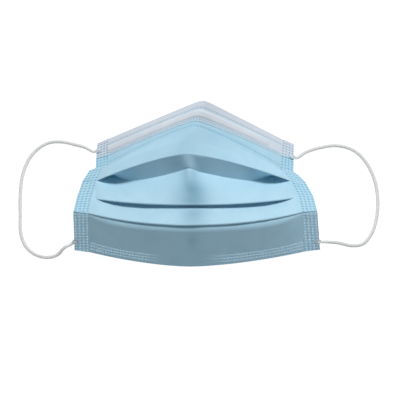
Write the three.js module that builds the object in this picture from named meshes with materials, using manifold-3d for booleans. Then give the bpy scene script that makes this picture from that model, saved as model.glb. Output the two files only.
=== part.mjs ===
// Pleated surgical face mask with ear loops, lying dome up on a flat surface.
// Millimetres. +X is across the face, +Y towards the nose, +Z up; the origin is
// under the middle of the mask, on the surface that it lies on.
import * as THREE from 'three';
import Module from 'manifold-3d';

const wasm = await Module();
wasm.setup();

// Driving dimensions
const maskWidth = 175;
const lyingDepth = 78;
const domeHeight = 51;
const pleatDepth = 13;
const fabricWall = 1;
const fusedWall = 0.6;
const foldRadius = 0.75;
const fusedFoldRadius = 0.45;
const browRadius = 5;
const fusedBrowRadius = 2.2;
const apexRounding = 0.04;
const weldWidth = 11;
const weldedStack = 2.4;
const weldedSheet = 1.1;
const squeezeOut = 0.2;
const bandDepth = 13.5;
const bandWall = 0.8;
const bandGap = 0.3;
const wireLength = 142;
const wireWidth = 3.6;
const wireThickness = 0.6;
const wireInset = 8.6;
const wireShift = -11;
const tunnelRun = 6;
const loopDiameter = 2.6;
const tabLength = 5.2;
const tabWidth = 3.8;
const tabThickness = 0.9;
const tabOverhang = 0.6;
const seatGap = 0.4;
const stationCount = 30;
const cordSides = 8;
const cordStep = 2.2;

const halfWidth = maskWidth / 2;

// Creases from the nose to the chin: x as shares of halfWidth, y of lyingDepth and
// z of domeHeight, at the outer ends of the side welds and at the middle. bank and sweep
// are the slopes of the weld in degrees, sideways and towards the nose, and arch is the
// exponent of the line's curve. The cloth isn't folded at the shoulder, where only its
// side outline turns.
const creases = {
  topEdge: {
    left: [-0.81, 0.996, 0], right: [0.8, 0.99, 0], middle: [0.053, 1.146, 1],
    bank: 36, sweep: 7, arch: 1,
  },
  waist: {
    left: [-0.803, 0.735, 0.143], right: [0.775, 0.7, 0.16], middle: [-0.02, 0.9, 0.975],
    bank: 25, sweep: 0, arch: 1.2,
  },
  shoulder: {
    left: [-0.851, 0.708, 0.169], right: [0.81, 0.662, 0.186], middle: [-0.05, 0.8, 0.96],
    bank: 26, sweep: 0, arch: 1.3,
  },
  ridge1: {
    left: [-0.898, 0.588, 0.229], right: [0.865, 0.583, 0.229], middle: [-0.066, 0.688, 0.947],
    bank: 16, sweep: 0, arch: 1.42,
  },
  ridge2: {
    left: [-0.923, 0.428, 0.327], right: [0.91, 0.437, 0.327], middle: [-0.037, 0.264, 0.869],
    bank: 12, sweep: -7, arch: 2.1,
  },
  ridge3: {
    left: [-0.932, 0.274, 0.469], right: [0.923, 0.282, 0.469], middle: [-0.037, 0.087, 0.918],
    bank: 12, sweep: -8, arch: 2.1,
  },
  bottomEdge: {
    left: [-0.955, 0.003, 0], right: [0.976, 0.009, 0], middle: [-0.045, -0.19, 0.41],
    bank: 13, sweep: -9, arch: 1.6,
  },
};

// Pleats: how far the fold turns at the middle, in degrees (180 is shut), and how
// quickly it shuts towards the side welds.
const pleats = {
  pleat1: { turn: 47, shutting: 3.2 },
  pleat2: { turn: 168, shutting: 4 },
  pleat3: { turn: 175, shutting: 4 },
};

// Welded loop ends: the crease that each is measured from, the one it lies towards,
// its distance along the weld, and its turn in the plane of the weld in degrees.
const loopEnds = {
  loop_tab_top_left: { side: -1, from: 'topEdge', to: 'waist', along: 6.2, turn: 6 },
  loop_tab_top_right: { side: 1, from: 'topEdge', to: 'waist', along: 11.2, turn: -14 },
  loop_tab_bottom_left: { side: -1, from: 'bottomEdge', to: 'ridge3', along: 7.4, turn: 38 },
  loop_tab_bottom_right: { side: 1, from: 'bottomEdge', to: 'ridge3', along: 7.2, turn: -8 },
};

// Routes of the ear loops on the surface, chosen by eye from top to bottom; each
// loop runs on from its welded ends.
const leftRoute = [
  [-79.6, 73.2, 1.8], [-86.4, 76.2, 1.3], [-95.6, 79, 1.3], [-104.3, 78.6, 1.3], [-112.4, 74.2, 1.3],
  [-119, 65.6, 1.3], [-122.6, 53.6, 1.3], [-123.2, 39.2, 1.3], [-122.3, 25.2, 1.3], [-121.2, 12.6, 1.3],
  [-117.4, 3.4, 1.3], [-110.6, -2.6, 1.3], [-102.3, -4.8, 1.3], [-95, -3.2, 2.2], [-89.9, 1.2, 4.8],
];
const rightRoute = [
  [78.4, 68.8, 1.9], [88.4, 72.6, 1.3], [101, 75.4, 1.3], [112.8, 71.8, 1.3], [121, 63, 1.3],
  [125.9, 50.4, 1.3], [127.2, 36, 1.3], [125.3, 22, 1.3], [121, 11.2, 1.3], [114.8, 4.6, 1.3],
  [107, 2.2, 1.5], [98.4, 2.8, 2.9], [91.6, 4.2, 4.9],
];

const paints = {
  nonwoven: new THREE.MeshStandardMaterial({ color: 0x9fc3e6, roughness: 0.85, metalness: 0 }),
  band: new THREE.MeshStandardMaterial({ color: 0xd4d9ea, roughness: 0.85, metalness: 0 }),
  wire: new THREE.MeshStandardMaterial({ color: 0xe6e6e4, roughness: 0.45, metalness: 0 }),
  elastic: new THREE.MeshStandardMaterial({ color: 0xdcdcdc, roughness: 0.8, metalness: 0 }),
};

// Small geometry helpers in the plane of a section, [y, z]
const radians = THREE.MathUtils.degToRad;
const mix = THREE.MathUtils.lerp;
const plus = (p, q, k = 1) => [p[0] + q[0] * k, p[1] + q[1] * k];
const heading = (p, q) => {
  const length = Math.hypot(q[0] - p[0], q[1] - p[1]);
  return [(q[0] - p[0]) / length, (q[1] - p[1]) / length];
};
const rotated = (d, degrees) => {
  const a = radians(degrees);
  return [d[0] * Math.cos(a) - d[1] * Math.sin(a), d[0] * Math.sin(a) + d[1] * Math.cos(a)];
};

// A share across the mask runs from -2 to 2: within 1 of the middle it is between
// the welds, and from 1 to 2 it crosses a weld to the outer edge.
const welded = (u) => Math.min(1, Math.abs(u)) ** 6;

function archFall(v, exponent) {
  const soft = (a) => (a * a + apexRounding ** 2) ** (exponent / 2) - apexRounding ** exponent;
  return soft(v) / soft(1);
}

function scaled(shares) {
  return new THREE.Vector3(shares[0] * halfWidth, shares[1] * lyingDepth, shares[2] * domeHeight);
}

function creasePoint(name, u) {
  const crease = creases[name];
  const side = u < 0 ? -1 : 1;
  const outer = scaled(side < 0 ? crease.left : crease.right);
  const [bank, sweep] = [radians(crease.bank), radians(crease.sweep)];
  const level = Math.cos(sweep);
  const inward = new THREE.Vector3(-side * Math.cos(bank) * level, Math.sin(sweep), Math.sin(bank) * level);
  const inner = outer.clone().addScaledVector(inward, weldWidth);
  if (Math.abs(u) >= 1) return inner.lerp(outer, Math.abs(u) - 1);
  const middle = scaled(crease.middle);
  const fall = archFall(u, crease.arch);
  return new THREE.Vector3(
    mix(middle.x, inner.x, Math.abs(u)),
    mix(middle.y, inner.y, fall),
    mix(middle.z, inner.z, fall),
  );
}

// x at one share where the cloth is at y, which is the same for all layers of a pleat
function acrossAt(u, y) {
  const line = Object.keys(creases).map((name) => creasePoint(name, u));
  return line.slice(1).reduce((x, below, i) => {
    const above = line[i];
    const share = THREE.MathUtils.clamp((above.y - y) / (above.y - below.y), 0, 1);
    return x + (below.x - above.x) * share;
  }, line[0].x);
}

// One section's folds from nose to chin: each has its place and, where the cloth
// turns, the radius and the way it turns.
function sectionFolds(u) {
  const flat = (name) => {
    const { y, z } = creasePoint(name, u);
    return [y, z];
  };
  const radius = mix(foldRadius, fusedFoldRadius, welded(u));
  const folds = [{ p: flat('topEdge') }, { p: flat('waist') }];
  Object.values(pleats).forEach((pleat, i) => {
    const ridge = flat(`ridge${i + 1}`);
    const turn = mix(pleat.turn, 180, Math.min(1, Math.abs(u)) ** pleat.shutting);
    const shut = Math.max(0, -Math.cos(radians(turn)));
    const along = heading(folds[folds.length - 1].p, ridge);
    const back = plus(ridge, rotated(along, turn), pleatDepth);
    const valley = plus(back, rotated(along, 90), 2 * radius * shut);
    folds.push({ p: ridge, radius, way: 1 });
    folds.push({ p: valley, radius, way: -1 });
  });
  const last = folds[folds.length - 2].p;
  const lastHeading = heading(folds[folds.length - 3].p, last);
  const brow = plus(last, rotated(lastHeading, 90), 3 * radius);
  folds.push({ p: brow, radius: mix(browRadius, fusedBrowRadius, welded(u)), way: 1 });
  folds.push({ p: flat('bottomEdge') });
  return folds;
}

// Turns every fold with a radius into an arc that both neighbouring panels run into.
function arcsOf(folds) {
  const arcs = folds.map((f) => ({ ...f, start: f.p, end: f.p }));
  for (let pass = 0; pass < 4; pass += 1) {
    arcs.forEach((f, i) => {
      if (!f.radius) return;
      const into = heading(arcs[i - 1].end, f.start);
      const out = heading(f.end, arcs[i + 1].start);
      const turned = Math.atan2(into[0] * out[1] - into[1] * out[0], into[0] * out[0] + into[1] * out[1]);
      const degrees = THREE.MathUtils.radToDeg(turned) * f.way;
      f.turn = degrees < -90 ? degrees + 360 : Math.max(degrees, 1);
      const outward = rotated(into, f.way * (f.turn / 2 - 90));
      f.centre = plus(f.p, outward, -f.radius);
      f.from = rotated(into, -90 * f.way);
      f.start = plus(f.centre, f.from, f.radius);
      f.end = plus(f.centre, rotated(f.from, f.way * f.turn), f.radius);
    });
  }
  return arcs;
}

const arcSteps = 3;
const panelSteps = 3;

// The middle line of the folded cloth at one section, as points [x, y, z]
function middleLine(u) {
  const arcs = arcsOf(sectionFolds(u));
  const line = [];
  arcs.forEach((f, i) => {
    if (i > 0) {
      const before = arcs[i - 1];
      for (let s = 1; s < panelSteps; s += 1) {
        const k = s / panelSteps;
        line.push([mix(before.end[0], f.start[0], k), mix(before.end[1], f.start[1], k)]);
      }
    }
    const steps = f.radius ? arcSteps : 0;
    for (let s = 0; s <= steps; s += 1) {
      line.push(steps ? plus(f.centre, rotated(f.from, f.way * f.turn * (s / steps)), f.radius) : f.p);
    }
  });
  return line.map(([y, z]) => [acrossAt(u, y), y, z]);
}

// A closed ring round an open line: its upper side, then its lower side back.
function ringRound(line, halfWalls) {
  const sides = [1, -1].map((side) => line.map((p, i) => {
    const a = line[Math.max(0, i - 1)];
    const b = line[Math.min(line.length - 1, i + 1)];
    const into = i > 0 ? heading([a[1], a[2]], [p[1], p[2]]) : heading([p[1], p[2]], [b[1], b[2]]);
    const out = i < line.length - 1 ? heading([p[1], p[2]], [b[1], b[2]]) : into;
    const sum = heading([0, 0], plus(into, out));
    const normal = rotated(sum, -90 * side);
    const mitre = 1 / Math.max(0.7, sum[0] * into[0] + sum[1] * into[1]);
    return [p[0], p[1] + normal[0] * halfWalls[i] * mitre, p[2] + normal[1] * halfWalls[i] * mitre];
  }));
  return [...sides[0], ...sides[1].reverse()];
}

// Joins rings into one closed mesh with its ends capped. All rings have as many
// points, and each runs along one side and then back along the other.
function loftedGeometry(rings) {
  const count = rings[0].length;
  const positions = rings.flat(2);
  const index = [];
  for (let r = 0; r < rings.length - 1; r += 1) {
    for (let i = 0; i < count; i += 1) {
      const a = r * count + i;
      const b = r * count + ((i + 1) % count);
      index.push(a, b, b + count, a, b + count, a + count);
    }
  }
  const lastRing = (rings.length - 1) * count;
  for (let i = 0; i < count / 2 - 1; i += 1) {
    const opposite = count - 1 - i;
    const quad = [i, i + 1, opposite - 1, opposite];
    [[0, 2, 1], [0, 3, 2]].forEach((corners) => index.push(...corners.map((k) => quad[k])));
    [[0, 1, 2], [0, 2, 3]].forEach((corners) => index.push(...corners.map((k) => lastRing + quad[k])));
  }
  const geometry = new THREE.BufferGeometry();
  geometry.setAttribute('position', new THREE.Float32BufferAttribute(positions, 3));
  geometry.setIndex(index);
  return facingOut(geometry);
}

function signedVolume(geometry) {
  const p = geometry.attributes.position;
  const index = geometry.index.array;
  const [a, b, c] = [new THREE.Vector3(), new THREE.Vector3(), new THREE.Vector3()];
  let volume = 0;
  for (let i = 0; i < index.length; i += 3) {
    a.fromBufferAttribute(p, index[i]);
    b.fromBufferAttribute(p, index[i + 1]);
    c.fromBufferAttribute(p, index[i + 2]);
    volume += a.dot(b.cross(c)) / 6;
  }
  return volume;
}

function facingOut(geometry) {
  if (signedVolume(geometry) > 0) return geometry;
  const index = geometry.index.array;
  for (let i = 0; i < index.length; i += 3) [index[i + 1], index[i + 2]] = [index[i + 2], index[i + 1]];
  return geometry;
}

// Between three's meshes, with shared vertices, and solids that can be joined
function solidOf(geometry) {
  return new wasm.Manifold(new wasm.Mesh({
    numProp: 3,
    vertProperties: new Float32Array(geometry.attributes.position.array),
    triVerts: new Uint32Array(geometry.index.array),
  }));
}

function geometryOf(solid) {
  const mesh = solid.getMesh();
  const geometry = new THREE.BufferGeometry();
  geometry.setAttribute('position', new THREE.Float32BufferAttribute(mesh.vertProperties, 3));
  geometry.setIndex(new THREE.Uint32BufferAttribute(mesh.triVerts, 1));
  geometry.computeVertexNormals();
  return geometry;
}

// Shares across the mask, closer together towards the welds where the pleats shut
function stations() {
  const inner = [];
  for (let i = 0; i <= stationCount; i += 1) {
    const even = -1 + (2 * i) / stationCount;
    inner.push(Math.sin((even * Math.PI) / 2) * 0.45 + even * 0.55);
  }
  return [-2, -1.5, ...inner, 1.5, 2];
}

// The cloth itself: one folded sheet from edge to edge
function pleatedSheet() {
  const rings = stations().map((u) => {
    const half = mix(fabricWall, fusedWall, welded(u)) / 2;
    const line = middleLine(u);
    return ringRound(line, line.map(() => half));
  });
  return loftedGeometry(rings);
}

// A place on the top panel's line at the weld, a distance from the top edge
function alongTopPanel(folds, distance) {
  const first = Math.hypot(folds[1].p[0] - folds[0].p[0], folds[1].p[1] - folds[0].p[1]);
  const i = distance < first ? 0 : 1;
  const run = heading(folds[i].p, folds[i + 1].p);
  return { p: plus(folds[i].p, run, i === 0 ? distance : distance - first), out: rotated(run, -90) };
}

// A side weld: the stacked layers fused into one flat strip along the side, squeezed
// out a little past the edges of the cloth
function sideWeld(side) {
  const thicker = (weldedStack - weldedSheet) / 2;
  const rings = [0.99, 1.5, 2 + squeezeOut / weldWidth].map((across) => {
    const u = side * across;
    const folds = sectionFolds(u);
    const [first, second] = [0, 1].map((i) => Math.hypot(
      folds[i + 1].p[0] - folds[i].p[0],
      folds[i + 1].p[1] - folds[i].p[1],
    ));
    const shoulderShare = (folds[1].p[0] - creasePoint('shoulder', u).y) / (folds[1].p[0] - folds[2].p[0]);
    const stackStart = first + second - pleatDepth - fusedFoldRadius;
    const turns = [-squeezeOut, first / 2, first, first + second * shoulderShare];
    const levels = [...turns, stackStart - weldedStack, stackStart];
    const rows = levels.sort((a, b) => a - b).map((level) => {
      const { p, out } = alongTopPanel(folds, level);
      const stacked = level >= stackStart;
      return { p: plus(p, out, stacked ? -thicker : 0), half: (stacked ? weldedStack : weldedSheet) / 2 };
    });
    [2, 4, 6].forEach((ridge) => {
      const out = rotated(heading(folds[ridge - 1].p, folds[ridge].p), -90);
      rows.push({ p: plus(folds[ridge].p, out, -fusedFoldRadius), half: weldedStack / 2 });
    });
    const [brow, bottom] = folds.slice(-2);
    const down = heading(brow.p, bottom.p);
    rows.push({ p: plus(brow.p, down, weldedStack), half: weldedSheet / 2 });
    rows.push({ p: plus(bottom.p, down, squeezeOut), half: weldedSheet / 2 });
    return ringRound(rows.map((r) => [acrossAt(u, r.p[0]), ...r.p]), rows.map((r) => r.half));
  });
  return loftedGeometry(rings);
}

function pleatedBody() {
  const body = solidOf(pleatedSheet()).add(solidOf(sideWeld(-1))).add(solidOf(sideWeld(1)));
  return geometryOf(body);
}

// The local frame on the front of the top panel, a distance below the top edge
function topPanelFrame(u) {
  const edge = creasePoint('topEdge', u);
  const below = creasePoint('waist', u);
  const along = heading([edge.y, edge.z], [below.y, below.z]);
  const length = Math.hypot(below.y - edge.y, below.z - edge.z);
  const slant = (below.x - edge.x) / length;
  const out = rotated(along, -90);
  return (distance, height) => {
    const onPanel = plus(plus([edge.y, edge.z], along, distance), out, height);
    return [edge.x + slant * distance, onPanel[0], onPanel[1]];
  };
}

// How far along the top edge a share lies from the apex, in millimetres
function edgeDistance(u) {
  return Math.sign(u) * creasePoint('topEdge', u).distanceTo(creasePoint('topEdge', 0));
}

function wireSpan() {
  return [wireShift - wireLength / 2, wireShift + wireLength / 2];
}

function shareAtDistance(distance) {
  let low = -1;
  let high = 1;
  for (let i = 0; i < 40; i += 1) {
    const guess = (low + high) / 2;
    if (edgeDistance(guess) < distance) low = guess;
    else high = guess;
  }
  return (low + high) / 2;
}

// The band's stations, with one at each end of the wire and of the tunnel round it
function bandStations() {
  const [start, end] = wireSpan();
  const ends = [start - tunnelRun, start, end, end + tunnelRun].map(shareAtDistance);
  return [...stations(), ...ends].sort((a, b) => a - b);
}

// The white band folded over the top edge, raised where the wire lies under it
function noseBand() {
  const [wireStart, wireEnd] = wireSpan();
  const faceHeight = (u) => mix(fabricWall, weldedSheet, Math.abs(u) >= 1 ? 1 : welded(u)) / 2;
  const raised = wireThickness + bandGap;
  const rings = bandStations().map((u) => {
    const place = topPanelFrame(u);
    const beside = Math.min(edgeDistance(u) - wireStart, wireEnd - edgeDistance(u));
    const lift = raised * THREE.MathUtils.smoothstep(beside, -tunnelRun, -bandGap);
    const under = faceHeight(u) + bandGap;
    const tunnel = wireWidth / 2 + bandGap;
    const rows = [
      [-bandGap, 0], [-bandGap, under], [wireInset - tunnel - raised, under], [wireInset - tunnel, under + lift],
      [wireInset + tunnel, under + lift], [wireInset + tunnel + raised, under], [bandDepth, under],
    ];
    const inner = rows.map(([distance, height]) => place(distance, height));
    const outer = rows.map(([distance, height], i) => {
      const beyond = i < 2 ? distance - bandWall : distance;
      return place(beyond, i === 0 ? height : height + bandWall);
    });
    return [...outer, ...inner.reverse()];
  });
  return loftedGeometry(rings);
}

// The flat plastic-coated wire in the tunnel of the band
function noseWire() {
  const [start, end] = wireSpan().map(shareAtDistance);
  const [near, far] = [wireInset - wireWidth / 2, wireInset + wireWidth / 2];
  const rings = bandStations().filter((u) => u >= start && u <= end).map((u) => {
    const place = topPanelFrame(u);
    const low = mix(fabricWall, weldedSheet, welded(u)) / 2 + bandGap;
    const high = low + wireThickness;
    return [place(near, high), place(far, high), place(far, low), place(near, low)];
  });
  return loftedGeometry(rings);
}

// Where a welded loop end lies: its place and the directions of its length and face
function tabFrame(end) {
  const outer = creasePoint(end.from, 2 * end.side);
  const inner = creasePoint(end.from, end.side);
  const next = creasePoint(end.to, 2 * end.side);
  const along = next.clone().sub(outer).normalize();
  const inward = inner.clone().sub(outer).normalize();
  const face = new THREE.Vector3().crossVectors(inward, along).normalize();
  if (face.z < 0) face.negate();
  const outward = inward.clone().negate().applyAxisAngle(face, radians(end.turn));
  const onBand = end.from === 'topEdge' ? bandGap + bandWall : 0;
  const height = weldedSheet / 2 + onBand + seatGap + tabThickness / 2;
  const edge = outer.clone().addScaledVector(along, end.along).addScaledVector(face, height);
  return { edge, outward, face };
}

function loopTab(end) {
  const { edge, outward, face } = tabFrame(end);
  const round = tabWidth / 2;
  const shape = new THREE.Shape();
  shape.moveTo(tabOverhang, -round);
  shape.lineTo(tabOverhang, round);
  shape.lineTo(tabOverhang - tabLength + round, round);
  shape.absarc(tabOverhang - tabLength + round, 0, round, Math.PI / 2, (3 * Math.PI) / 2, false);
  const geometry = new THREE.ExtrudeGeometry(shape, { depth: tabThickness, bevelEnabled: false, curveSegments: 8 });
  geometry.translate(0, 0, -tabThickness / 2);
  const side = new THREE.Vector3().crossVectors(face, outward);
  geometry.applyMatrix4(new THREE.Matrix4().makeBasis(outward, side, face).setPosition(edge));
  return geometry;
}

function earLoop(route, topEnd, bottomEnd, floor) {
  const leaving = (end, distance) => {
    const { edge, outward } = tabFrame(end);
    return edge.addScaledVector(outward, tabOverhang + distance);
  };
  const points = [
    leaving(topEnd, seatGap), leaving(topEnd, loopDiameter),
    ...route.map(([x, y, z]) => new THREE.Vector3(x, y, z + floor)),
    leaving(bottomEnd, loopDiameter), leaving(bottomEnd, seatGap),
  ];
  const path = new THREE.CatmullRomCurve3(points, false, 'centripetal');
  path.arcLengthDivisions = 400;
  const section = new THREE.Shape();
  for (let i = 0; i < cordSides; i += 1) {
    const a = (2 * Math.PI * (i + 0.5)) / cordSides;
    const [x, y] = [Math.cos(a) * loopDiameter / 2, Math.sin(a) * loopDiameter / 2];
    if (i === 0) section.moveTo(x, y);
    else section.lineTo(x, y);
  }
  const steps = Math.round(path.getLength() / (cordStep * loopDiameter));
  return new THREE.ExtrudeGeometry(section, { extrudePath: path, steps, bevelEnabled: false });
}

function meshOf(name, geometry, paint) {
  const mesh = new THREE.Mesh(geometry, paint);
  mesh.name = name;
  return mesh;
}

const mask = new THREE.Group();
const bodyMesh = meshOf('pleated_body', pleatedBody(), paints.nonwoven);
const bandMesh = meshOf('nose_band', noseBand(), paints.band);
const footprint = new THREE.Box3().setFromObject(bodyMesh);
const floor = footprint.min.z;
mask.add(bodyMesh, bandMesh);
mask.add(meshOf('nose_wire', noseWire(), paints.wire));
Object.entries(loopEnds).forEach(([name, end]) => mask.add(meshOf(name, loopTab(end), paints.elastic)));
footprint.setFromObject(mask);

const { loop_tab_top_left: topLeft, loop_tab_bottom_left: bottomLeft } = loopEnds;
const { loop_tab_top_right: topRight, loop_tab_bottom_right: bottomRight } = loopEnds;
mask.add(meshOf('ear_loop_left', earLoop(leftRoute, topLeft, bottomLeft, floor), paints.elastic));
mask.add(meshOf('ear_loop_right', earLoop(rightRoute, topRight, bottomRight, floor), paints.elastic));

const middle = footprint.getCenter(new THREE.Vector3());
mask.position.set(-middle.x, -middle.y, -floor);

export default mask;
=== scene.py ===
"""A pleated surgical face mask with ear loops, lying dome up on a white table."""

import math

import bpy
import numpy as np
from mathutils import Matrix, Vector


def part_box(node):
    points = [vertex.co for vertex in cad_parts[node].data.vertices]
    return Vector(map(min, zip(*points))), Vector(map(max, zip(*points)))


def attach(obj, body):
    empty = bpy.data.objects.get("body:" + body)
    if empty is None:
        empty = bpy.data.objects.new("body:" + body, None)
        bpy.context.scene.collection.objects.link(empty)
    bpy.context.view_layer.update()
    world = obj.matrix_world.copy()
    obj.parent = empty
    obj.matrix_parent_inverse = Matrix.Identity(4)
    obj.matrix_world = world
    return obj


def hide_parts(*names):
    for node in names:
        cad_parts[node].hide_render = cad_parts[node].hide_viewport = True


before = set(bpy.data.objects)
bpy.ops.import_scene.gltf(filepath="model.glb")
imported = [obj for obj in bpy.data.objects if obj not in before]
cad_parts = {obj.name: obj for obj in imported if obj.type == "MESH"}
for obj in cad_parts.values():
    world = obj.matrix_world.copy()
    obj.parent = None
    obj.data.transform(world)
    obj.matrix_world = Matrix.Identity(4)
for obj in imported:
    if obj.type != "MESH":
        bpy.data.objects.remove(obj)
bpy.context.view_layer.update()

MM = 0.001

# The cloth in millimetres, as it is cut and folded and as it lies
HALF_WIDTH = 87.5
LYING_DEPTH = 78.0
DOME_HEIGHT = 51.0
PLEAT_DEPTH = 13.0
WELD_WIDTH = 11.0
PLY = 0.3
FOLD_RADIUS = 0.55
FUSED_FOLD_RADIUS = 0.2
BROW_RADIUS = 5.0
FUSED_BROW_RADIUS = 2.0
# How soft the top of a crease's arch is, as a share of the half width
APEX_ROUNDING = 0.04

# The nose band in millimetres: its depth in front and behind, its cloth's thickness and distance
# from the middle of the mask's cloth, and how deep its dots are pressed
BAND_DEPTH = 13.5
BAND_BEHIND = 2.2
BAND_THICKNESS = 0.2
BAND_LAP = 0.45
BAND_DOT_DEPTH = 0.16

# The nose wire in millimetres: the strip lies inside a raised tunnel and has some room there
WIRE_INSET = 8.6
WIRE_WIDTH = 3.6
WIRE_THICKNESS = 0.6
WIRE_LENGTH = 142.0
WIRE_SHIFT = -11.0
WIRE_ROOM = 0.2
WIRE_LIFT = 0.25
WIRE_ROUNDING = 0.12
# The share of the tunnel's height that the strip fills
WIRE_FILL = 0.8
# The tunnel's sides slope down from inside the wire's edges to outside them, and its ends rise
# between these distances, measured inwards from the wire's ends
TUNNEL_INSIDE = 0.5
TUNNEL_OUTSIDE = 1.0
TUNNEL_ENDS = (-1.5, 0.5)

# The ear loops in millimetres: round cords, with courses of stitches along them in eight wales
LOOP_DIAMETER = 2.6
LOOP_IN_TAB = 1.5
LOOP_TOP_START = 1.0
STITCH_DEPTH = 0.14
STITCH_COURSE = 0.9
STITCH_WALES = 8
# How much of the stitches' relief the grooves between wales make up
WALE_SHARE = 0.55
# How flat a cord's ends are pressed, and the distances from its ends between which it gets back
# its full height and its full width
LOOP_FLATNESS = 0.3
FLAT_REACH = (0.5, 8.0)
PULL_REACH = (2.0, 14.0)

# The pressed loop ends in millimetres, with their lifts over the cloth and over the band
TAB_LENGTH = 5.2
TAB_WIDTH = 3.4
TAB_THICKNESS = 0.4
TAB_OVERHANG = 0.6
TAB_LIFT = 0.35
BAND_LIFT = 0.85
# Shares: where the inner end starts to be round, and how much thinner that end and the sides are
TAB_ROUND_FROM = 0.6
END_THINNING = 0.4
SIDE_THINNING = 0.55
# How high in its pressed end the cord starts, as a share of the thickness
CORD_IN_TAB = 0.6
# The welding horn's grid of dots
HORN_PITCH = 1.1
HORN_DOT = 0.3
HORN_DEPTH = 0.12

# Mesh steps in millimetres, and the numbers of steps where they are counted
WELD_STEP = 0.37
CLOTH_STEP = 0.75
ROW_STEP = 0.6
BAND_STEP = 0.7
BAND_ROWS = 40
WIRE_STATIONS = 141
CORD_STEP = 0.28
CORD_SIDES = 28
TAB_COLUMNS = 26
TAB_ROWS = 20
# A coarse step, for measuring the cloth's box
COARSE_STEP = 2.0

# Creases from the nose to the chin, as shares of half width, lying depth and dome height:
# the outer ends of the side welds and the middle, the welds' slopes in degrees sideways (bank)
# and towards the nose (sweep), and the arch. The cloth isn't folded at the shoulder, where only
# its side outline turns.
CREASES = {
    "top_edge": {"left": (-0.81, 0.996, 0.0), "right": (0.8, 0.99, 0.0),
                 "middle": (0.053, 1.146, 1.0), "bank": 36, "sweep": 7, "arch": 1.0},
    "waist": {"left": (-0.803, 0.735, 0.143), "right": (0.775, 0.7, 0.16),
              "middle": (-0.02, 0.9, 0.975), "bank": 25, "sweep": 0, "arch": 1.2},
    "shoulder": {"left": (-0.851, 0.708, 0.169), "right": (0.81, 0.662, 0.186),
                 "middle": (-0.05, 0.8, 0.96), "bank": 26, "sweep": 0, "arch": 1.3},
    "ridge_1": {"left": (-0.898, 0.588, 0.229), "right": (0.865, 0.583, 0.229),
                "middle": (-0.066, 0.688, 0.947), "bank": 16, "sweep": 0, "arch": 1.42},
    "ridge_2": {"left": (-0.923, 0.428, 0.327), "right": (0.91, 0.437, 0.327),
                "middle": (-0.037, 0.264, 0.869), "bank": 12, "sweep": -7, "arch": 2.1},
    "ridge_3": {"left": (-0.932, 0.274, 0.469), "right": (0.923, 0.282, 0.469),
                "middle": (-0.037, 0.087, 0.918), "bank": 12, "sweep": -8, "arch": 2.1},
    "bottom_edge": {"left": (-0.955, 0.003, 0.0), "right": (0.976, 0.009, 0.0),
                    "middle": (-0.045, -0.19, 0.41), "bank": 13, "sweep": -9, "arch": 1.6},
}
# How far each fold turns at the middle, in degrees (180 is shut), and how it shuts sideways
PLEATS = [
    {"ridge": "ridge_1", "turn": 47.0, "shutting": 3.2},
    {"ridge": "ridge_2", "turn": 168.0, "shutting": 1.8},
    {"ridge": "ridge_3", "turn": 175.0, "shutting": 2.2},
]
# Welded loop ends: the crease that each is measured from, the one it lies towards, its distance
# along the weld, its turn in the plane of the weld, and how narrow the cord is pulled there
LOOP_ENDS = {
    "top_left": {"side": -1, "start": "top_edge", "towards": "waist",
                 "along": 7.2, "turn": -6.0, "pull": 0.85},
    "top_right": {"side": 1, "start": "top_edge", "towards": "waist",
                  "along": 12.2, "turn": 4.0, "pull": 1.0},
    "bottom_left": {"side": -1, "start": "bottom_edge", "towards": "ridge_3",
                    "along": 7.4, "turn": 38.0, "pull": 0.9},
    "bottom_right": {"side": 1, "start": "bottom_edge", "towards": "ridge_3",
                     "along": 7.2, "turn": -8.0, "pull": 0.9},
}
# Ear loop routes between their welded ends, in millimetres, with heights over the table
LEFT_ROUTE = [
    (-79.6, 74.3, 3.6), (-86.4, 76.8, 1.6), (-95.6, 79, 1.3), (-104.3, 78.6, 1.3), (-112.4, 74.2, 1.3),
    (-119, 65.6, 1.3), (-122.6, 53.6, 1.3), (-123.2, 39.2, 1.3), (-122.3, 25.2, 1.3), (-121.2, 12.6, 1.3),
    (-117.4, 3.4, 1.3), (-110.6, -2.6, 1.3), (-102.3, -4.8, 1.3), (-95, -3.2, 2.2), (-89.9, 1.2, 4.8),
]
RIGHT_ROUTE = [
    (77.6, 70.3, 3.8), (86.2, 74.0, 1.7), (100.7, 76.2, 1.3), (112.8, 72.2, 1.3), (121, 63, 1.3),
    (125.9, 50.4, 1.3), (127.2, 36, 1.3), (125.3, 22, 1.3), (121, 11.2, 1.3), (114.8, 4.6, 1.3),
    (107, 3.4, 1.5), (98.4, 4.9, 2.9), (91.6, 5.1, 4.9),
]


def turned(degrees):
    """A turn in the plane of a section, where a point is y + z i."""
    return np.exp(1j * np.radians(degrees))


def mix(a, b, share):
    return a + (b - a) * share


def heading(p, q):
    return (q - p) / np.abs(q - p)


def welded(u):
    """0 in the open cloth, rising to 1 at the side welds."""
    return np.minimum(1.0, np.abs(u)) ** 6


def smooth(x, low, high):
    t = np.clip((x - low) / (high - low), 0.0, 1.0)
    return t * t * (3 - 2 * t)


def arch_fall(v, exponent):
    def soft(a):
        return (a * a + APEX_ROUNDING**2) ** (exponent / 2) - APEX_ROUNDING**exponent

    return soft(v) / soft(1.0)


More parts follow.
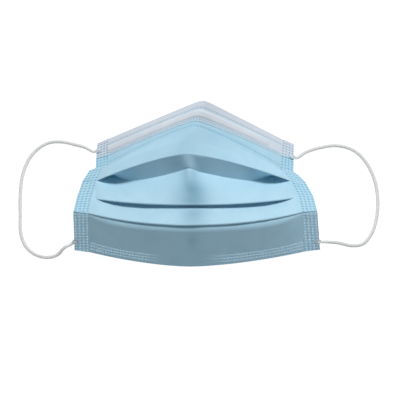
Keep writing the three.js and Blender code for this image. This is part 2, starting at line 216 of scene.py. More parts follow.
def crease_points(name, u):
    """Points (x, y, z) of a crease at shares u: within 1 it is between the welds, up to 2 it crosses one."""
    crease = CREASES[name]
    sizes = np.array([HALF_WIDTH, LYING_DEPTH, DOME_HEIGHT])
    side = np.where(u < 0, -1.0, 1.0)
    outer = np.where(side[:, None] < 0, np.array(crease["left"]) * sizes, np.array(crease["right"]) * sizes)
    bank, sweep = math.radians(crease["bank"]), math.radians(crease["sweep"])
    level = math.cos(sweep)
    rise = np.array([0, math.sin(sweep), math.sin(bank) * level])
    inward = rise - side[:, None] * np.array([math.cos(bank) * level, 0, 0])
    inner = outer + inward * WELD_WIDTH
    middle = np.array(crease["middle"]) * sizes
    v = np.minimum(1.0, np.abs(u))[:, None]
    fall = arch_fall(v, crease["arch"])
    arched = np.concatenate([mix(middle[0], inner[:, :1], v), mix(middle[1:], inner[:, 1:], fall)], axis=1)
    across = np.clip(np.abs(u) - 1, 0, 1)[:, None]
    return np.where(np.abs(u)[:, None] < 1, arched, mix(inner, outer, across))


def across_mask(u, y):
    """x at shares u where the cloth is at y, which is the same for all layers of a pleat."""
    lines = [crease_points(name, u) for name in CREASES]
    x = lines[0][:, 0]
    for above, below in zip(lines, lines[1:]):
        x = x + (below[:, 0] - above[:, 0]) * np.clip((above[:, 1] - y) / (above[:, 1] - below[:, 1]), 0, 1)
    return x


def section_folds(u):
    """The folds of every section, from nose to chin, as arrays over the shares u."""
    flat = {name: crease_points(name, u)[:, 1:] @ np.array([1, 1j]) for name in CREASES}
    radius = mix(FOLD_RADIUS, FUSED_FOLD_RADIUS, welded(u))
    folds = [{"p": flat["top_edge"]}, {"p": flat["waist"]}]
    for pleat in PLEATS:
        ridge = flat[pleat["ridge"]]
        turn = mix(pleat["turn"], 180.0, np.minimum(1, np.abs(u)) ** pleat["shutting"])
        shut = np.maximum(0, -np.cos(np.radians(turn)))
        along = heading(folds[-1]["p"], ridge)
        valley = ridge + along * turned(turn) * PLEAT_DEPTH + along * 1j * 2 * radius * shut
        folds.append({"p": ridge, "radius": radius, "way": 1})
        folds.append({"p": valley, "radius": radius, "way": -1})
    last = folds[-2]["p"]
    brow = last + heading(folds[-3]["p"], last) * 1j * 3 * radius
    folds.append({"p": brow, "radius": mix(BROW_RADIUS, FUSED_BROW_RADIUS, welded(u)), "way": 1})
    folds.append({"p": flat["bottom_edge"]})
    return folds


def with_arcs(folds):
    """Gives every fold that has a radius the arc that its neighbours run into."""
    for f in folds:
        f["start"] = f["end"] = f["p"]
    for _ in range(4):
        for i, f in enumerate(folds):
            if "radius" not in f:
                continue
            into = heading(folds[i - 1]["end"], f["start"])
            out = heading(f["end"], folds[i + 1]["start"])
            degrees = np.degrees(np.angle(out / into)) * f["way"]
            f["turn"] = np.where(degrees < -90, degrees + 360, np.maximum(degrees, 1))
            f["centre"] = f["p"] - into * turned(f["way"] * (f["turn"] / 2 - 90)) * f["radius"]
            f["from"] = into * turned(-90 * f["way"])
            f["start"] = f["centre"] + f["from"] * f["radius"]
            f["end"] = f["centre"] + f["from"] * turned(f["way"] * f["turn"]) * f["radius"]
    return folds


# Lengths of cloth from one fold to the next, the numbers of those that lie folded back, and the
# rows of mesh round each fold
PANEL_LENGTHS = [18.0, 17.0, 13.0, 26.5, 13.0, 26.5, 13.0, 13.0, 33.0]
RETURN_PANELS = (3, 5, 7)
ARC_ROWS = 6

# Dents left by handling: the share across where each is deepest and its half width, the lengths
# down the cloth where it starts, is deepest and ends, and its height, in millimetres
DENTS = [
    (-0.03, 0.12, 35, 49, 74, 2.2),
    (0.015, 0.055, 35, 48, 66, 3.4),
    (0.6, 0.2, 36, 49, 74, 1.6),
    (-0.6, 0.2, 36, 49, 74, 1.6),
    (-0.06, 0.11, 98, 127, 160, -1.5),
    (0.16, 0.10, 138, 156, 176, 0.8),
    (-0.03, 0.05, 140, 150, 165, -0.7),
    (0.0, 0.10, 14, 21, 34, 0.25),
    (-0.45, 0.12, 50, 64, 74, -0.6),
    (0.5, 0.12, 50, 60, 74, -0.5),
]


def bumps(places, u, s):
    """The sum of soft round bumps, at shares u and lengths s down the cloth."""
    return sum(height * np.exp(-((u - place) / half) ** 2) * np.interp(s, [start, top, end], [0, 1, 0])
               for place, half, start, top, end, height in places)


def cloth_grid(u, row_step):
    """The folded cloth's middle surface: points[station, row, xyz], the length down the cloth of
    each row, and +1 for the rows that face out of the mask, -1 in the folded back returns."""
    folds = with_arcs(section_folds(u))
    rows, lengths, fronts = [], [], []
    run = 0.0
    for i, f in enumerate(folds):
        if i:
            before = folds[i - 1]
            count = max(2, round(PANEL_LENGTHS[i - 1] / row_step))
            back = -1.0 if i in RETURN_PANELS else 1.0
            for k in np.arange(1, count) / count:
                rows.append(mix(before["end"], f["start"], k))
                lengths.append(run + PANEL_LENGTHS[i - 1] * k)
                fronts.append(back)
            run += PANEL_LENGTHS[i - 1]
        steps = ARC_ROWS if "radius" in f else 0
        for k in np.arange(steps + 1) / max(1, steps):
            if steps:
                rows.append(f["centre"] + f["from"] * turned(f["way"] * f["turn"] * k) * f["radius"])
            else:
                rows.append(f["p"])
            lengths.append(run)
            fronts.append(1.0)
    columns = [np.stack([across_mask(u, p.real), p.real, p.imag + bumps(DENTS, u, s)], axis=1)
               for p, s in zip(rows, lengths)]
    return np.stack(columns, axis=1), np.array(lengths), np.array(fronts)


def grid_normals(points):
    """Unit normals of a grid of points, facing out of the mask's front."""
    across = np.gradient(points, axis=0)
    down = np.gradient(points, axis=1)
    normal = np.cross(down, across)
    return normal / np.maximum(1e-9, np.linalg.norm(normal, axis=2, keepdims=True))


def shares_across(weld_step, cloth_step):
    """Shares u with a fine step in the welds and a coarser one between them."""
    weld = np.linspace(1, 2, round(WELD_WIDTH / weld_step) + 1)
    even = np.linspace(-1, 1, round(2 * (HALF_WIDTH - WELD_WIDTH) / cloth_step) + 1)[1:-1]
    return np.concatenate([-weld[::-1], even, weld])


def dots(x, y, pitch_x, pitch_y, half_x, half_y):
    """A grid of oval dots, 1 at their middles: x and y in millimetres from the middle of one dot."""
    dx = x - np.round(x / pitch_x) * pitch_x
    dy = y - np.round(y / pitch_y) * pitch_y
    return np.exp(-((dx / half_x) ** 2 + (dy / half_y) ** 2) ** 2)


# The ultrasonic side weld: four columns of dots down each side, with a plain rim
WELD_COLUMNS = 4
WELD_COLUMN_PITCH = WELD_WIDTH / WELD_COLUMNS
WELD_ROW_PITCH = 2.3
WELD_DOT = (0.95, 0.55)
WELD_RIM = 0.3
# The hem at the chin edge: its rows of dots, in millimetres from the edge
HEM_ROWS = (3.4, 6.3, 9.2)
HEM_PITCH = 2.3
HEM_DOT = (0.85, 0.7)
# The hem's dots fade out at the middle: its share, and the distances where they start and are full
HEM_FADE = (-0.06, 0.12, 0.42)
DOT_DEPTH = 0.14
# From here down the cloth, in the chin panel, which lies in shade, the weld dots are painted paler
# and partly see-through, as painted light, and they are shallower by this share
PALE_IN_SHADE_FROM = (134, 142)
PALE_IN_SHADE_SHALLOWER = 0.7
# Dotted weld lines along the nose band, and one on the cloth below it
BAND_LINES = (4.3, 12.3)
NOSE_HEM = 15.4
LINE_PITCH = 2.1
LINE_DOT = (0.6, 0.4)
# A pitch so long that dots make a single row
ONE_ROW = 1000


def weld_dots(u, along):
    """The side weld's dots at shares u and a length along the weld."""
    from_edge = (2 - np.abs(u)) * WELD_WIDTH
    x = from_edge - WELD_COLUMN_PITCH / 2
    inside = (from_edge > WELD_RIM) & (from_edge < WELD_WIDTH)
    return dots(x, along, WELD_COLUMN_PITCH, WELD_ROW_PITCH, *WELD_DOT) * inside


def weld_length(points, u):
    """How far each point lies along the weld's strip, from its y, which falls steadily along it."""
    names = list(CREASES)
    along = np.zeros(points.shape[:2])
    for i, share in enumerate(u):
        line = np.concatenate([crease_points(name, np.array([share])) for name in names])
        steps = np.concatenate([[0], np.cumsum(np.linalg.norm(np.diff(line, axis=0), axis=1))])
        along[i] = np.interp(-points[i, :, 1], -line[:, 1], steps)
    return along


# Patches of painted shade, where the blue cloth is coloured darker: share across and half width,
# length down the cloth where it starts, is strongest and ends, and how strongly
PAINTED_SHADE_PATCHES = [
    (0.04, 0.10, 44, 62, 84, 0.65),
    (0.0, 0.19, 54, 72, 84, 0.5),
    (0.03, 0.11, 92, 106, 122, 0.55),
    (-0.11, 0.08, 32, 42, 50, 0.3),
    (0.02, 0.05, 138, 146, 162, 0.35),
]


def cloth_relief(points, u, lengths, fronts):
    """Height of the cloth over its smooth form, in millimetres, how strongly it is welded there,
    and where its weld dots are painted paler, as painted light: in the chin panel, which lies in shade."""
    across = u[:, None] + 0 * lengths[None, :]
    in_weld = np.abs(across) >= 1
    weld = np.where(in_weld, weld_dots(across, weld_length(points, u)), 0)
    width = edge_distance("bottom_edge", u)[:, None]
    from_hem = (lengths[-1] - lengths)[None, :]
    hem = sum(dots(width, from_hem - row, HEM_PITCH, ONE_ROW, *HEM_DOT) for row in HEM_ROWS)
    hem = hem * smooth(np.abs(across - HEM_FADE[0]), *HEM_FADE[1:])
    nose_width = edge_distance("top_edge", u)[:, None]
    nose_hem = dots(nose_width, lengths[None, :] - NOSE_HEM, LINE_PITCH, ONE_ROW, *LINE_DOT)
    mask = np.clip(weld + np.where(in_weld, 0, hem + nose_hem), 0, 1)
    # Painted light: the chin panel, which lies in shade, is marked so that its weld and hem dots are painted
    # paler
    clear = smooth(lengths, *PALE_IN_SHADE_FROM)[None, :] + 0 * mask
    facing = fronts[None, :]
    height = -DOT_DEPTH * mask * (1 - PALE_IN_SHADE_SHALLOWER * clear) * facing
    height = height + wrinkles(across, lengths[None, :]) * (1 - welded(across)) * facing
    return height, mask, clear


WRINKLES = 16
WRINKLE_HEIGHT = 0.25


def wrinkles(u, s):
    """Soft dents and creases of handled cloth, at shares u and lengths s down the cloth."""
    rng = np.random.default_rng(7)
    total = 0 * u * s
    for _ in range(WRINKLES):
        place, where = rng.uniform(-0.85, 0.85), rng.uniform(5, 165)
        width, length = rng.uniform(0.03, 0.09), rng.uniform(6, 16)
        slant = rng.uniform(-0.006, 0.006)
        height = rng.uniform(-WRINKLE_HEIGHT, WRINKLE_HEIGHT)
        off = (u - place - slant * (s - where)) / width
        total = total + height * np.exp(-off * off - ((s - where) / length) ** 2)
    return total


def edge_distance(name, u):
    """Distance along a crease from its middle, in millimetres, signed by side."""
    fine = np.linspace(-2, 2, 801)
    points = crease_points(name, fine)
    run = np.concatenate([[0], np.cumsum(np.linalg.norm(np.diff(points, axis=0), axis=1))])
    return np.interp(u, fine, run - np.interp(0, fine, run))


# Where this script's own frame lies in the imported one, in millimetres
def packed_shift():
    low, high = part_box("pleated_body")
    u = shares_across(COARSE_STEP, COARSE_STEP)
    points, _, _ = cloth_grid(u, COARSE_STEP)
    flat = points.reshape(-1, 3)
    own = (flat.min(axis=0) + flat.max(axis=0)) / 2
    packed = (np.array(low) + np.array(high)) / 2 / MM
    return np.array([packed[0] - own[0], packed[1] - own[1], -flat[:, 2].min() + PLY])


shift = packed_shift()


def new_object(name, vertices, faces, materials=(), smooth_faces=True):
    mesh = bpy.data.meshes.new(name)
    mesh.from_pydata([tuple(v) for v in vertices], [], faces)
    mesh.update()
    for material in materials:
        mesh.materials.append(material)
    if smooth_faces:
        mesh.polygons.foreach_set("use_smooth", [True] * len(mesh.polygons))
    obj = bpy.data.objects.new(name, mesh)
    bpy.context.scene.collection.objects.link(obj)
    return obj


def grid_faces(columns, rows, offset=0, flip=False):
    """Quads of a grid whose point (i, j) is number i * rows + j."""
    i, j = np.meshgrid(np.arange(columns - 1), np.arange(rows - 1), indexing="ij")
    a = (offset + i * rows + j).ravel()
    quads = np.stack([a, a + 1, a + rows + 1, a + rows], axis=1)
    return (quads[:, ::-1] if flip else quads).tolist()


def grid_border(columns, rows):
    """The numbers of the points round the border of a grid, in order."""
    border = [i * rows for i in range(columns)]
    border += [(columns - 1) * rows + j for j in range(1, rows)]
    border += [i * rows + rows - 1 for i in range(columns - 2, -1, -1)]
    return border + [j for j in range(rows - 2, 0, -1)]


def tube_faces(stations, sides):
    """Faces of a tube with closed ends whose point j of station i is number i * sides + j."""
    faces = []
    for i in range(stations - 1):
        for j in range(sides):
            a, b = i * sides + j, i * sides + (j + 1) % sides
            faces.append([a, b, b + sides, a + sides])
    faces.append(list(range(sides))[::-1])
    faces.append([(stations - 1) * sides + j for j in range(sides)])
    return faces


def add_attribute(obj, name, values):
    attribute = obj.data.attributes.new(name, "FLOAT", "POINT")
    attribute.data.foreach_set("value", np.asarray(values, dtype=np.float32))


def add_cloth_map(obj, width, length):
    """A UV map in metres of cloth: across the mask and down it."""
    layer = obj.data.uv_layers.new(name="cloth")
    index = np.empty(len(obj.data.loops), dtype=np.int32)
    obj.data.loops.foreach_get("vertex_index", index)
    uv = np.stack([np.asarray(width)[index], np.asarray(length)[index]], axis=1) * MM
    layer.data.foreach_set("uv", uv.astype(np.float32).ravel())


def sheet_object(name, surface, rim, attributes, maps, material, flip=False):
    """A sheet from a grid of points, with a rim turned back to the points of rim round its border."""
    columns, rows = surface.shape[:2]
    border = grid_border(columns, rows)
    flat = surface.reshape(-1, 3)
    turned_back = rim.reshape(-1, 3)[border]
    vertices = (np.concatenate([flat, turned_back]) + shift) * MM
    faces = grid_faces(columns, rows, flip=flip)
    first = len(flat)
    for k, a in enumerate(border):
        n = (k + 1) % len(border)
        quad = [a, border[n], first + n, first + k]
        faces.append(quad[::-1] if not flip else quad)
    obj = new_object(name, vertices, faces, [material])
    for key, values in attributes.items():
        flat_values = values.ravel()
        add_attribute(obj, key, np.concatenate([flat_values, flat_values[border]]))
    width, length = (np.broadcast_to(m, surface.shape[:2]).ravel() for m in maps)
    add_cloth_map(obj, np.concatenate([width, width[border]]), np.concatenate([length, length[border]]))
    return obj


# Materials

# Shares of light that come through the cloth, the cord, the weld dots painted paler in the shaded
# chin panel and a loop's pressed end
CLOTH_GLOW = 0.18
CORD_GLOW = 0.3
FILM_CLEARNESS = 0.8
TAB_CLEARNESS = 0.5
TABLE_GLOW = 0.93

# Pattern sizes in millimetres, some as a length divided by how many lie along it. Bond points are
# really about 0.7 mm apart and the fibres and the cord's filaments about 0.02 mm thick, too fine
# to show: they are drawn wider apart and in clumps. The last two are the mottles of the melted
# loop ends and of the wire's coating.
BOND_SPACING = 0.9
CLOUD_WIDTH = 100 / 9
CLUMP_WIDTH = 10 / 19
FILAMENT_WIDTH = 10 / 26
MELT_WIDTH = 10 / 9
COATING_WIDTH = 2.5


def linear(hex_colour):
    """A colour given as sRGB hex, in Blender's linear values."""
    parts = [int(hex_colour[i:i + 2], 16) / 255 for i in (1, 3, 5)]
    return [c / 12.92 if c <= 0.04045 else ((c + 0.055) / 1.055) ** 2.4 for c in parts] + [1.0]


def add_node(tree, kind, settings=None, **links):
    """Adds a node with its settings. Each link names an input, by its name with underscores for
    spaces or by its number as in i6, and gives its value or the socket that it comes from."""
    node = tree.nodes.new(kind)
    for key, value in (settings or {}).items():
        setattr(node, key, value)
    for key, value in links.items():
        numbered = key[0] == "i" and key[1:].isdigit()
        socket = node.inputs[int(key[1:]) if numbered else key.replace("_", " ")]
        if isinstance(value, bpy.types.NodeSocket):
            tree.links.new(value, socket)
        else:
            socket.default_value = value
    return node


# The setting that makes a mix node mix colours, with inputs 6 and 7 and output 2
COLOURS = {"data_type": "RGBA"}


def new_material(name):
    material = bpy.data.materials.new(name)
    material.use_nodes = True
    tree = material.node_tree
    tree.nodes.clear()
    return material, tree


def spunbond(name, light, deep, pressed, pale_film_in_shade, backing_and_shade, through):
    """Spunbond polypropylene nonwoven: thousands of fine fibres pressed together at a lattice of small bond
    points, so it looks matt and slightly fibrous, with a fine quilted diamond grain. Where it is welded
    it is pressed to a smooth, deeper coloured film; in the chin panel, which lies in shade, the weld
    dots are painted paler and made partly see-through, as painted light.
    Light comes through it. Where an attribute says, its colour turns towards a second colour: on the
    blue cloth a darker blue, painted shade in patches at the middle; on the band the blue cloth under
    it showing through."""
    material, tree = new_material(name)
    cloth = add_node(tree, "ShaderNodeUVMap", {"uv_map": "cloth"}).outputs[0]
    weld = add_node(tree, "ShaderNodeAttribute", {"attribute_name": "weld"}).outputs["Fac"]
    clear = add_node(tree, "ShaderNodeAttribute", {"attribute_name": "clear"}).outputs["Fac"]
    shade_and_show_through = add_node(tree, "ShaderNodeAttribute", {"attribute_name": "shade_and_show_through"}).outputs["Fac"]
    bonds = 1 / (BOND_SPACING * MM)
    lattice = add_node(tree, "ShaderNodeMapping", {}, Vector=cloth, Rotation=(0, 0, math.radians(45)),
                       Scale=(bonds, bonds, 1))
    cells = add_node(tree, "ShaderNodeTexVoronoi", {"voronoi_dimensions": "2D"},
                     Vector=lattice.outputs[0], Scale=1.0, Randomness=0.12)
    bond = add_node(tree, "ShaderNodeMapRange", {}, Value=cells.outputs["Distance"],
                    From_Min=0.12, From_Max=0.42)
    # Clouds of denser web, and the fibres in it
    cloud = add_node(tree, "ShaderNodeTexNoise", {"noise_dimensions": "2D"},
                     Vector=cloth, Scale=1 / (CLOUD_WIDTH * MM), Detail=4.0)
    fibre = add_node(tree, "ShaderNodeTexNoise", {"noise_dimensions": "2D"},
                     Vector=cloth, Scale=1 / (CLUMP_WIDTH * MM), Detail=3.0, Distortion=0.6)
    tone = add_node(tree, "ShaderNodeMapRange", {}, Value=cloud.outputs["Fac"],
                    From_Min=0.3, From_Max=0.7, To_Min=0.0, To_Max=0.22)
    grain = add_node(tree, "ShaderNodeMapRange", {}, Value=fibre.outputs["Fac"],
                     From_Min=0.3, From_Max=0.7, To_Min=-0.1, To_Max=0.25)
    web = add_node(tree, "ShaderNodeMath", {"operation": "ADD"}, i0=tone.outputs[0], i1=grain.outputs[0])
    cloth_colour = add_node(tree, "ShaderNodeMix", COLOURS, Factor=web.outputs[0],
                            i6=linear(light), i7=linear(deep))
    # Painted light: in the shaded chin panel the weld dots turn from the pressed colour to a paler one
    film = add_node(tree, "ShaderNodeMix", COLOURS, Factor=clear, i6=linear(pressed),
                    i7=linear(pale_film_in_shade))
    # Painted shade: where the attribute says, the blue cloth's colour turns to a darker blue; on the band
    # the same mix shows the blue cloth under it
    sheer_and_shade = add_node(tree, "ShaderNodeMix", COLOURS, Factor=shade_and_show_through, i6=cloth_colour.outputs[2],
                    i7=linear(backing_and_shade))
    colour = add_node(tree, "ShaderNodeMix", COLOURS, Factor=weld, i6=sheer_and_shade.outputs[2],
                      i7=film.outputs[2])
    height = add_node(tree, "ShaderNodeMath", {"operation": "MULTIPLY_ADD"},
                      i0=fibre.outputs["Fac"], i1=0.45, i2=bond.outputs[0])
    bump = add_node(tree, "ShaderNodeBump", {}, Height=height.outputs[0], Strength=0.55,
                    Distance=0.12 * MM)
    rough = add_node(tree, "ShaderNodeMapRange", {}, Value=weld, To_Min=0.82, To_Max=0.45)
    shader = add_node(tree, "ShaderNodeBsdfPrincipled", {}, Base_Color=colour.outputs[2],
                      Roughness=rough.outputs[0], Normal=bump.outputs[0], IOR=1.49, Sheen_Weight=0.3,
                      Specular_IOR_Level=0.25)
    glow = add_node(tree, "ShaderNodeBsdfTranslucent", {}, Color=linear(through))
    both = add_node(tree, "ShaderNodeMixShader", {}, Fac=CLOTH_GLOW, i1=shader.outputs[0],
                    i2=glow.outputs[0])
    # Painted light: the paler dots in the shaded chin panel are also partly see-through
    pale_dot_in_shade = add_node(tree, "ShaderNodeMath", {"operation": "MULTIPLY"}, i0=weld, i1=clear)
    bare = add_node(tree, "ShaderNodeMath", {"operation": "MULTIPLY"}, i0=pale_dot_in_shade.outputs[0],
                    i1=FILM_CLEARNESS)
    window = add_node(tree, "ShaderNodeBsdfTransparent", {}, Color=linear("#e0f1fa"))
    pierced = add_node(tree, "ShaderNodeMixShader", {}, Fac=bare.outputs[0], i1=both.outputs[0],
                       i2=window.outputs[0])
    add_node(tree, "ShaderNodeOutputMaterial", {}, Surface=pierced.outputs[0])
    return material


def knitted_elastic():
    """Elastic core knitted over with textured nylon: matt, soft, with rows of small stitches along it."""
    material, tree = new_material("knitted_nylon_elastic")
    cloth = add_node(tree, "ShaderNodeUVMap", {"uv_map": "cloth"}).outputs[0]
    fibre = add_node(tree, "ShaderNodeTexNoise", {}, Vector=cloth,
                     Scale=1 / (FILAMENT_WIDTH * MM), Detail=3.0)
    groove = add_node(tree, "ShaderNodeAttribute", {"attribute_name": "groove"}).outputs["Fac"]
    # Painted shade: the cord's colour is darker in the grooves between its stitches, and varies at random
    # with the fibre noise
    shade = add_node(tree, "ShaderNodeMath", {"operation": "MULTIPLY_ADD"},
                     i0=fibre.outputs["Fac"], i1=0.35, i2=groove)
    colour = add_node(tree, "ShaderNodeMix", COLOURS, Factor=shade.outputs[0],
                      i6=linear("#f4f5f5"), i7=linear("#dadbdb"))
    bump = add_node(tree, "ShaderNodeBump", {}, Height=fibre.outputs["Fac"], Strength=0.4,
                    Distance=0.1 * MM)
    shader = add_node(tree, "ShaderNodeBsdfPrincipled", {}, Base_Color=colour.outputs[2],
                      Roughness=0.8, Normal=bump.outputs[0], Sheen_Weight=0.25)
    glow = add_node(tree, "ShaderNodeBsdfTranslucent", {}, Color=linear("#f4f5f5"))
    both = add_node(tree, "ShaderNodeMixShader", {}, Fac=CORD_GLOW, i1=shader.outputs[0],
                    i2=glow.outputs[0])
    add_node(tree, "ShaderNodeOutputMaterial", {}, Surface=both.outputs[0])
    return material


def pressed_elastic():
    """The same elastic melted flat by the welding horn: paler, glossier, slightly clear at its edges."""
    material, tree = new_material("pressed_nylon_elastic")
    place = add_node(tree, "ShaderNodeTexCoord").outputs["Object"]
    mottle = add_node(tree, "ShaderNodeTexNoise", {}, Vector=place, Scale=1 / (MELT_WIDTH * MM),
                      Detail=2.0)
    colour = add_node(tree, "ShaderNodeMix", COLOURS, Factor=mottle.outputs["Fac"],
                      i6=linear("#f0f6fb"), i7=linear("#d8e8f3"))
    bump = add_node(tree, "ShaderNodeBump", {}, Height=mottle.outputs["Fac"], Strength=0.5,
                    Distance=0.15 * MM)
    shader = add_node(tree, "ShaderNodeBsdfPrincipled", {}, Base_Color=colour.outputs[2],
                      Roughness=0.5, Normal=bump.outputs[0])
    window = add_node(tree, "ShaderNodeBsdfTransparent", {}, Color=linear("#eef6fb"))
    sheer_and_shade = add_node(tree, "ShaderNodeMixShader", {}, Fac=TAB_CLEARNESS, i1=shader.outputs[0],
                    i2=window.outputs[0])
    add_node(tree, "ShaderNodeOutputMaterial", {}, Surface=sheer_and_shade.outputs[0])
    return material


def coated_wire():
    """Polyethylene coated wire: smooth, satin and white."""
    material, tree = new_material("polyethylene_coated_wire")
    place = add_node(tree, "ShaderNodeTexCoord").outputs["Object"]
    mottle = add_node(tree, "ShaderNodeTexNoise", {}, Vector=place, Scale=1 / (COATING_WIDTH * MM))
    colour = add_node(tree, "ShaderNodeMix", COLOURS, Factor=mottle.outputs["Fac"],
                      i6=linear("#f2f2f0"), i7=linear("#e3e3e0"))
    shader = add_node(tree, "ShaderNodeBsdfPrincipled", {}, Base_Color=colour.outputs[2],
                      Roughness=0.35)
    add_node(tree, "ShaderNodeOutputMaterial", {}, Surface=shader.outputs[0])
    return material


def white_table():
    """Opal acrylic lit from below, as on a light table: pure white and nearly shadowless."""
    material, tree = new_material("opal_acrylic_light_table")
    shader = add_node(tree, "ShaderNodeBsdfPrincipled", {}, Base_Color=linear("#7c7c7c"), Roughness=0.9,
                      Emission_Color=linear("#ffffff"), Emission_Strength=TABLE_GLOW)
    add_node(tree, "ShaderNodeOutputMaterial", {}, Surface=shader.outputs[0])
    return material


# The blue cloth's second colour, #7aa6ba, is painted shade; its colour for the weld dots in the shaded chin
# panel, #e2f3fb, is painted light
blue_nonwoven = spunbond("spunbond_blue_nonwoven", light="#bfe3f3", deep="#9acde3", pressed="#62a9c8",
                         pale_film_in_shade="#e2f3fb", backing_and_shade="#7aa6ba", through="#5cbee6")
white_nonwoven = spunbond("spunbond_white_nonwoven", light="#f2f3f7", deep="#d9dce8", pressed="#b9c2d6",
                          pale_film_in_shade="#ffffff", backing_and_shade="#f2f3f7", through="#ffffff")
band_nonwoven = spunbond("spunbond_band_nonwoven", light="#e2e9f2", deep="#c6d1e1", pressed="#86a9bf",
                         pale_film_in_shade="#ffffff", backing_and_shade="#c9e3f0", through="#e8f2f8")
elastic = knitted_elastic()
pressed = pressed_elastic()


# The folded cloth, as an outer blue ply and an inner white one

def build_cloth():
    u = shares_across(WELD_STEP, CLOTH_STEP)
    points, lengths, fronts = cloth_grid(u, ROW_STEP)
    height, weld, clear = cloth_relief(points, u, lengths, fronts)
    normals = grid_normals(points)
    middle = points + normals * height[..., None]
    width = edge_distance("ridge_2", u)[:, None]
    # Patches of painted shade: a darker colour at the middle of the cloth
    shade_and_show_through = np.clip(bumps(PAINTED_SHADE_PATCHES, u[:, None], lengths[None, :]), 0, 1)
    films = {"weld": weld, "clear": clear, "shade_and_show_through": shade_and_show_through}
    steps = np.linalg.norm(np.diff(points, axis=1), axis=2)
    maps = (width, np.concatenate([0 * width, np.cumsum(steps, axis=1)], axis=1))
    outer = sheet_object("outer_ply", middle + normals * PLY / 2, middle, films, maps, blue_nonwoven)
    inner = sheet_object("inner_ply", middle - normals * PLY / 2, middle, films, maps, white_nonwoven,
                         flip=True)
    return outer, inner


outer_ply, inner_ply = build_cloth()


# The white band folded over the nose edge, and the wire in its tunnel

# Where the blue cloth beneath shows through the band: the distances beside the wire where it
# starts and is full, its fade at the first line of dots, and its strength above and below the wire
LINED_BESIDE = (0.3, 1.2)
LINED_FADE = 0.6
LINED_STRENGTH = (0.45, 0.8)


def panel_place(u, distance, height):
    """Points on the front of the top panel: a distance below the nose edge and a height over its middle."""
    edge = crease_points("top_edge", u)
    below = crease_points("waist", u)
    top = edge[:, 1] + 1j * edge[:, 2]
    along = heading(top, below[:, 1] + 1j * below[:, 2])
    slant = (below[:, 0] - edge[:, 0]) / np.abs(below[:, 1] + 1j * below[:, 2] - top)
    p = top[:, None] + along[:, None] * (distance - 1j * height)
    return np.stack([edge[:, :1] + slant[:, None] * distance, p.real, p.imag], axis=2)


def build_band():
    u = shares_across(WELD_STEP, BAND_STEP)
    turn = np.linspace(0, 1, 7)[:-1]
    behind = np.linspace(BAND_BEHIND, 0, 5)[:-1]
    face = np.linspace(0, BAND_DEPTH, BAND_ROWS)
    round_distance = np.concatenate([behind, -np.sin(turn * np.pi) * BAND_LAP, face])
    round_height = np.concatenate([0 * behind - BAND_LAP, -np.cos(turn * np.pi) * BAND_LAP,
                                   0 * face + BAND_LAP])
    on_face = np.concatenate([0 * behind, 0 * turn, 0 * face + 1])
    run = edge_distance("top_edge", u)
    start, end = WIRE_SHIFT - WIRE_LENGTH / 2, WIRE_SHIFT + WIRE_LENGTH / 2
    over_wire = smooth(np.minimum(run - start, end - run), *TUNNEL_ENDS)[:, None]
    half = WIRE_WIDTH / 2
    from_wire = np.abs(round_distance - WIRE_INSET)
    slope = smooth(from_wire, half - TUNNEL_INSIDE, half + TUNNEL_OUTSIDE)
    tunnel = WIRE_THICKNESS * (1 - slope) * on_face
    lines = sum(dots(run[:, None], (round_distance - line)[None, :], LINE_PITCH, ONE_ROW, *LINE_DOT)
                for line in BAND_LINES)
    in_weld = (np.abs(u) >= 1)[:, None]
    along = round_distance[None, :] + 0 * run[:, None]
    side = weld_dots(u[:, None] + 0 * along, along)
    weld = np.where(in_weld, side, np.clip(lines, 0, 1)) * on_face
    height = round_height[None, :] + tunnel[None, :] * over_wire - BAND_DOT_DEPTH * weld
    points = panel_place(u, round_distance[None, :] + 0 * height, height)
    normals = grid_normals(points)
    lined = smooth(from_wire, half + LINED_BESIDE[0], half + LINED_BESIDE[1])
    lined = lined * smooth(round_distance, BAND_LINES[0] - LINED_FADE, BAND_LINES[0])
    lined = lined * mix(*LINED_STRENGTH, smooth(round_distance, WIRE_INSET - 1, WIRE_INSET + 1))
    lined = (lined * on_face)[None, :]
    films = {"weld": weld, "clear": 0 * weld, "shade_and_show_through": lined + 0 * weld}
    return sheet_object("nose_band_cloth", points, points - normals * BAND_THICKNESS, films,
                        (run[:, None], along), band_nonwoven)


def build_wire():
    start, end = WIRE_SHIFT - WIRE_LENGTH / 2, WIRE_SHIFT + WIRE_LENGTH / 2
    fine = np.linspace(-1, 1, 401)
    shares = np.interp(np.linspace(start, end, WIRE_STATIONS), edge_distance("top_edge", fine), fine)
    low, high = WIRE_LIFT, WIRE_LIFT + WIRE_THICKNESS * WIRE_FILL
    near, far = WIRE_INSET - WIRE_WIDTH / 2 + WIRE_ROOM, WIRE_INSET + WIRE_WIDTH / 2 - WIRE_ROOM
    soft = WIRE_ROUNDING
    ring = [(near + soft, low), (near, low + soft), (near, high - soft), (near + soft, high),
            (far - soft, high), (far, high - soft), (far, low + soft), (far - soft, low)]
    distance = np.array([r[0] for r in ring])[None, :] + 0 * shares[:, None]
    height = np.array([r[1] for r in ring])[None, :] + 0 * shares[:, None]
    points = panel_place(shares, distance, height)
    faces = tube_faces(len(shares), len(ring))
    return new_object("nose_wire_strip", (points.reshape(-1, 3) + shift) * MM, faces, [coated_wire()])


band = build_band()
wire = build_wire()


# The ear loops and their welded ends

def end_frame(end):
    """Place, outward direction and face direction of a welded loop end, in this script's frame."""
    side = end["side"]
    outer = crease_points(end["start"], np.array([2.0 * side]))[0]
    inner = crease_points(end["start"], np.array([1.0 * side]))[0]
    after = crease_points(end["towards"], np.array([2.0 * side]))[0]
    along = (after - outer) / np.linalg.norm(after - outer)
    inward = (inner - outer) / np.linalg.norm(inner - outer)
    face = np.cross(inward, along)
    face = face / np.linalg.norm(face) * (1 if face[2] > 0 else -1)
    outward = np.array(Vector(-inward))
    angle = math.radians(end["turn"])
    outward = outward * math.cos(angle) + np.cross(face, outward) * math.sin(angle)
    lift = BAND_LIFT if end["start"] == "top_edge" else TAB_LIFT
    return outer + along * end["along"] + face * lift, outward, face


